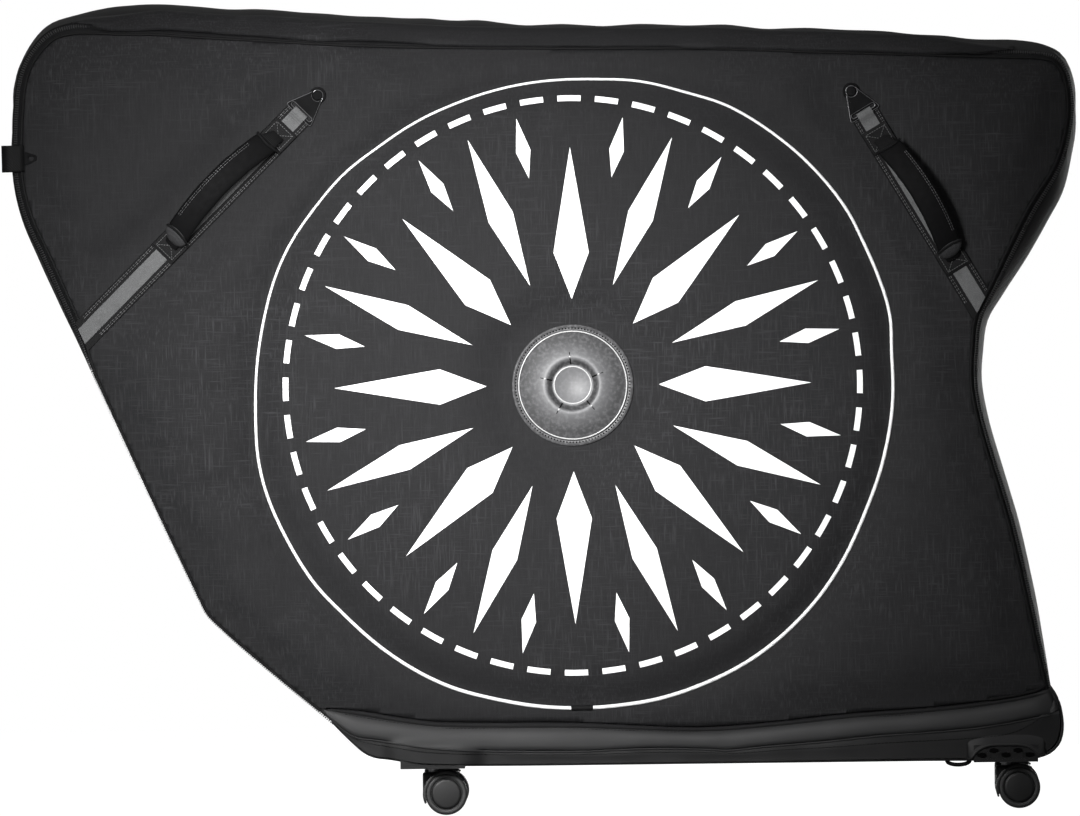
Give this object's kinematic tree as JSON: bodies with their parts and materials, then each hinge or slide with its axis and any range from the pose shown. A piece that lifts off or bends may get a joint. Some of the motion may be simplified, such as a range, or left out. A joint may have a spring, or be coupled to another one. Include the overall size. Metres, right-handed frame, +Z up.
{
  "type": "bike travel bag",
  "caption": "Soft padded travel bag for a bicycle, with a zipped drop-down side, wheel pockets, lifting straps with grips and a stiff base on swivel casters.",
  "frame": {"origin": "on the floor, under the middle of the bag's overall box", "axes": "+Z up, +X from the rear end towards the notched front end, -Y towards the side that opens"},
  "size_m": [1.1963, 0.3284, 0.9123],
  "materials": {
    "woven_cloth": "padded woven nylon, small grid, matt",
    "coated_cloth": "coated cloth with a soft sheen",
    "zip_tape": "ribbed zip tape with coil teeth",
    "pocket_cloth": "plain lining cloth",
    "black_webbing": "ribbed black webbing",
    "strap_webbing": "black webbing under a flat grey webbing",
    "piping_cord": "white piping",
    "hub_plastic": "grey moulded plastic, satin",
    "caster_plastic": "black moulded plastic",
    "wheel_rubber": "hard black wheel",
    "grip_neoprene": "stitched neoprene",
    "black_metal": "black painted steel",
    "zip_metal": "black painted zinc",
    "axle_steel": "plain steel",
    "frame_tube": "satin tube",
    "board_plastic": "grained board",
    "foam": "closed-cell foam, stands in as cloth"
  },
  "bodies": {
    "bag_body": {"base_board": "board_plastic", "base_frame": "frame_tube", "base_loop": "black_webbing", "base_tub": "coated_cloth", "cradle_strap": "black_webbing", "far_front_mount": "caster_plastic", "far_front_strap": "strap_webbing", "far_front_stud": "black_metal", "far_hub_cover": "hub_plastic", "far_piping": "piping_cord", "far_rear_mount": "caster_plastic", "far_rear_strap": "strap_webbing", "far_rear_stud": "black_metal", "far_side_panel": "woven_cloth", "far_wheel_pocket": "pocket_cloth", "frame_cradle": "foam", "gusset": "woven_cloth", "gusset_zip_tape": "zip_tape", "near_front_mount": "caster_plastic", "near_rear_mount": "caster_plastic", "rain_flap": "woven_cloth"},
    "door": {"near_side_panel": "woven_cloth", "door_zip_tape": "zip_tape", "near_piping": "piping_cord", "near_hub_cover": "hub_plastic", "near_wheel_pocket": "pocket_cloth", "near_rear_strap": "strap_webbing", "near_front_strap": "strap_webbing", "near_rear_stud": "black_metal", "near_front_stud": "black_metal", "end_tab": "black_webbing"},
    "zip_slider_1": {"zip_slider_1": "zip_metal"},
    "zip_slider_2": {"zip_slider_2": "zip_metal"},
    "zip_pull_1": {"zip_pull_1": "zip_metal"},
    "zip_pull_2": {"zip_pull_2": "zip_metal"},
    "near_rear_grip": {"near_rear_grip": "grip_neoprene"},
    "near_rear_hook_plate": {"near_rear_hook_plate": "black_metal"},
    "near_front_grip": {"near_front_grip": "grip_neoprene"},
    "near_front_hook_plate": {"near_front_hook_plate": "black_metal"},
    "far_rear_grip": {"far_rear_grip": "grip_neoprene"},
    "far_rear_hook_plate": {"far_rear_hook_plate": "black_metal"},
    "far_front_grip": {"far_front_grip": "grip_neoprene"},
    "far_front_hook_plate": {"far_front_hook_plate": "black_metal"},
    "end_tab_plate": {"end_tab_plate": "black_metal"},
    "near_rear_caster": {"near_rear_hood": "caster_plastic", "near_rear_axle": "axle_steel"},
    "near_rear_outer_wheel": {"near_rear_outer_wheel": "wheel_rubber"},
    "near_rear_inner_wheel": {"near_rear_inner_wheel": "wheel_rubber"},
    "near_front_caster": {"near_front_hood": "caster_plastic", "near_front_axle": "axle_steel"},
    "near_front_outer_wheel": {"near_front_outer_wheel": "wheel_rubber"},
    "near_front_inner_wheel": {"near_front_inner_wheel": "wheel_rubber"},
    "far_rear_caster": {"far_rear_hood": "caster_plastic", "far_rear_axle": "axle_steel"},
    "far_rear_outer_wheel": {"far_rear_outer_wheel": "wheel_rubber"},
    "far_rear_inner_wheel": {"far_rear_inner_wheel": "wheel_rubber"},
    "far_front_caster": {"far_front_hood": "caster_plastic", "far_front_axle": "axle_steel"},
    "far_front_outer_wheel": {"far_front_outer_wheel": "wheel_rubber"},
    "far_front_inner_wheel": {"far_front_inner_wheel": "wheel_rubber"}
  },
  "joints": [
    {"name": "door_hinge", "type": "hinge", "parent": "bag_body", "child": "door", "pos_m": [0, -0.14845, 0.09383], "axis": [1, 0, 0], "range_deg": [0, 90]},
    {"name": "zip_1_slide", "type": "slide", "parent": "bag_body", "child": "zip_slider_1", "axis": [-0.9999, 0.0007, 0.0169], "range_m": [0, 0.06]},
    {"name": "zip_2_slide", "type": "slide", "parent": "bag_body", "child": "zip_slider_2", "axis": [1, -0.0003, -0.0073], "range_m": [0, 0.06]},
    {"name": "zip_pull_1_lift", "type": "hinge", "parent": "zip_slider_1", "child": "zip_pull_1", "pos_m": [0.02403, -0.1073, 0.86857], "axis": [-0.0066, -0.9359, -0.3521], "range_deg": [0, 6]},
    {"name": "zip_pull_2_lift", "type": "hinge", "parent": "zip_slider_2", "child": "zip_pull_2", "pos_m": [0.09569, -0.10733, 0.86792], "axis": [-0.0028, -0.936, -0.352], "range_deg": [0, 6]},
    {"name": "near_rear_grip_swing", "type": "hinge", "parent": "door", "child": "near_rear_grip", "pos_m": [-0.25177, -0.12788, 0.8079], "axis": [-0.7077, -0.0288, -0.7059], "range_deg": [-50, 35]},
    {"name": "near_rear_hook_lift", "type": "hinge", "parent": "door", "child": "near_rear_hook_plate", "pos_m": [-0.27265, -0.12453, 0.78691], "axis": [0.7065, -0.0289, -0.7071], "range_deg": [0, 110]},
    {"name": "near_front_grip_swing", "type": "hinge", "parent": "door", "child": "near_front_grip", "pos_m": [0.34586, -0.12798, 0.80542], "axis": [0.5087, -0.0351, -0.8602], "range_deg": [-35, 50]},
    {"name": "near_front_hook_lift", "type": "hinge", "parent": "door", "child": "near_front_hook_plate", "pos_m": [0.36086, -0.12482, 0.77987], "axis": [0.861, 0.0208, 0.5082], "range_deg": [0, 110]},
    {"name": "far_rear_grip_swing", "type": "hinge", "parent": "bag_body", "child": "far_rear_grip", "pos_m": [-0.25177, 0.12788, 0.8079], "axis": [-0.7077, 0.0288, -0.7059], "range_deg": [-35, 50]},
    {"name": "far_rear_hook_lift", "type": "hinge", "parent": "bag_body", "child": "far_rear_hook_plate", "pos_m": [-0.27265, 0.12453, 0.78691], "axis": [-0.7065, -0.0289, 0.7071], "range_deg": [0, 110]},
    {"name": "far_front_grip_swing", "type": "hinge", "parent": "bag_body", "child": "far_front_grip", "pos_m": [0.34586, 0.12798, 0.80542], "axis": [0.5087, 0.0351, -0.8602], "range_deg": [-50, 35]},
    {"name": "far_front_hook_lift", "type": "hinge", "parent": "bag_body", "child": "far_front_hook_plate", "pos_m": [0.36086, 0.12482, 0.77987], "axis": [-0.861, 0.0208, -0.5082], "range_deg": [0, 110]},
    {"name": "end_tab_plate_lift", "type": "hinge", "parent": "door", "child": "end_tab_plate", "pos_m": [-0.57426, -0.12497, 0.71871], "axis": [0.1177, -0.0405, -0.9922], "range_deg": [0, 90]},
    {"name": "near_rear_swivel", "type": "hinge", "parent": "bag_body", "child": "near_rear_caster", "pos_m": [-0.13186, -0.104, 0.0525], "axis": [0, 0, 1], "continuous": true},
    {"name": "near_rear_outer_roll", "type": "hinge", "parent": "near_rear_caster", "child": "near_rear_outer_wheel", "pos_m": [-0.11706, -0.1078, 0.0235], "axis": [0, 1, 0], "continuous": true},
    {"name": "near_rear_inner_roll", "type": "hinge", "parent": "near_rear_caster", "child": "near_rear_inner_wheel", "pos_m": [-0.11706, -0.1002, 0.0235], "axis": [0, 1, 0], "continuous": true},
    {"name": "near_front_swivel", "type": "hinge", "parent": "bag_body", "child": "near_front_caster", "pos_m": [0.51, -0.104, 0.0525], "axis": [0, 0, 1], "continuous": true},
    {"name": "near_front_outer_roll", "type": "hinge", "parent": "near_front_caster", "child": "near_front_outer_wheel", "pos_m": [0.5248, -0.1078, 0.0235], "axis": [0, 1, 0], "continuous": true},
    {"name": "near_front_inner_roll", "type": "hinge", "parent": "near_front_caster", "child": "near_front_inner_wheel", "pos_m": [0.5248, -0.1002, 0.0235], "axis": [0, 1, 0], "continuous": true},
    {"name": "far_rear_swivel", "type": "hinge", "parent": "bag_body", "child": "far_rear_caster", "pos_m": [-0.13186, 0.104, 0.0525], "axis": [0, 0, 1], "continuous": true},
    {"name": "far_rear_outer_roll", "type": "hinge", "parent": "far_rear_caster", "child": "far_rear_outer_wheel", "pos_m": [-0.11706, 0.1002, 0.0235], "axis": [0, 1, 0], "continuous": true},
    {"name": "far_rear_inner_roll", "type": "hinge", "parent": "far_rear_caster", "child": "far_rear_inner_wheel", "pos_m": [-0.11706, 0.1078, 0.0235], "axis": [0, 1, 0], "continuous": true},
    {"name": "far_front_swivel", "type": "hinge", "parent": "bag_body", "child": "far_front_caster", "pos_m": [0.51, 0.104, 0.0525], "axis": [0, 0, 1], "continuous": true},
    {"name": "far_front_outer_roll", "type": "hinge", "parent": "far_front_caster", "child": "far_front_outer_wheel", "pos_m": [0.5248, 0.1002, 0.0235], "axis": [0, 1, 0], "continuous": true},
    {"name": "far_front_inner_roll", "type": "hinge", "parent": "far_front_caster", "child": "far_front_inner_wheel", "pos_m": [0.5248, 0.1078, 0.0235], "axis": [0, 1, 0], "continuous": true}
  ]
}
